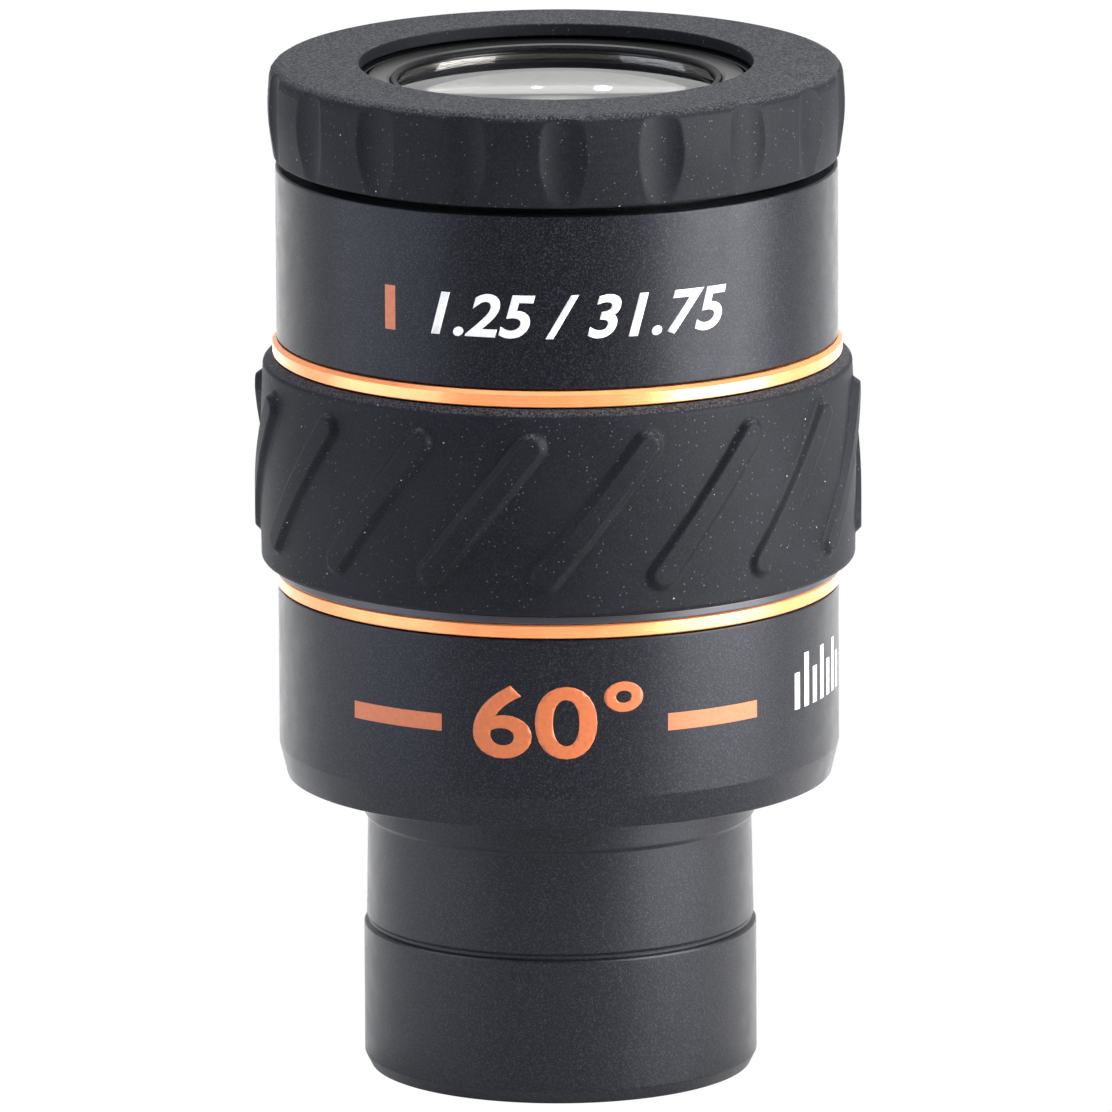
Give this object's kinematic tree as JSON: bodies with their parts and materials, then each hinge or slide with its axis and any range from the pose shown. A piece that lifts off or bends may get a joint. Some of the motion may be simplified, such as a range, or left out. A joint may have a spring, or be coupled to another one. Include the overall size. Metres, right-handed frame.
{
  "type": "telescope eyepiece",
  "caption": "Telescope eyepiece with a 1.25 inch push-fit nosepiece, a ribbed rubber grip, orange trim rings and a twist-up fluted rubber eyecup.",
  "frame": {"origin": "centre of the nosepiece end face, on the optical axis", "axes": "+Z along the optical axis from the nosepiece towards the eye; the front of the grip faces -Y"},
  "size_m": [0.049, 0.049, 0.0824],
  "materials": {
    "black_anodised": "bead-blasted satin black anodise",
    "matte_black": "matte black anti-glare",
    "orange_anodised": "satin orange anodise",
    "black_rubber": "matte",
    "coated_glass": "polished, anti-reflection coated",
    "satin_aluminium": "satin",
    "steel": "ground"
  },
  "bodies": {
    "barrel": {"nosepiece": "black_anodised", "nosepiece_lock_ring": "matte_black", "lower_housing": "black_anodised", "lower_accent_ring": "orange_anodised", "grip_core": "black_anodised", "set_screw_1": "steel", "set_screw_2": "steel", "set_screw_3": "steel", "grip_band": "black_rubber", "upper_accent_ring": "orange_anodised", "upper_housing": "black_anodised", "lens_barrel": "matte_black", "lens_retaining_ring": "satin_aluminium", "eye_lens": "coated_glass", "upper_spacer_ring": "matte_black", "eye_doublet_crown": "coated_glass", "eye_doublet_flint": "coated_glass", "middle_spacer_ring": "matte_black", "inner_singlet": "coated_glass", "glare_baffle": "matte_black", "field_stop": "matte_black", "field_lens_cell": "matte_black", "field_doublet_inner": "coated_glass", "field_doublet_outer": "coated_glass", "field_lens_retaining_ring": "matte_black", "guide_pin_1": "steel", "guide_pin_2": "steel", "guide_pin_3": "steel"},
    "friction_ring": {"sleeve_friction_ring": "black_rubber"},
    "eyecup": {"eyecup_sleeve": "matte_black", "eyecup_carrier": "black_anodised", "eyecup_rubber": "black_rubber"}
  },
  "joints": [
    {"name": "eyecup_rise", "type": "slide", "parent": "barrel", "child": "friction_ring", "axis": [0, 0, 1], "range_m": [0, 0.007]},
    {"name": "eyecup_turn", "type": "hinge", "parent": "friction_ring", "child": "eyecup", "pos_m": [0, 0, 0.0722], "axis": [0, 0, 1], "range_deg": [0, 105]}
  ],
  "couplings": [
    {"joint": "eyecup_turn", "follows": "eyecup_rise", "rad_per_m": 261.8}
  ]
}
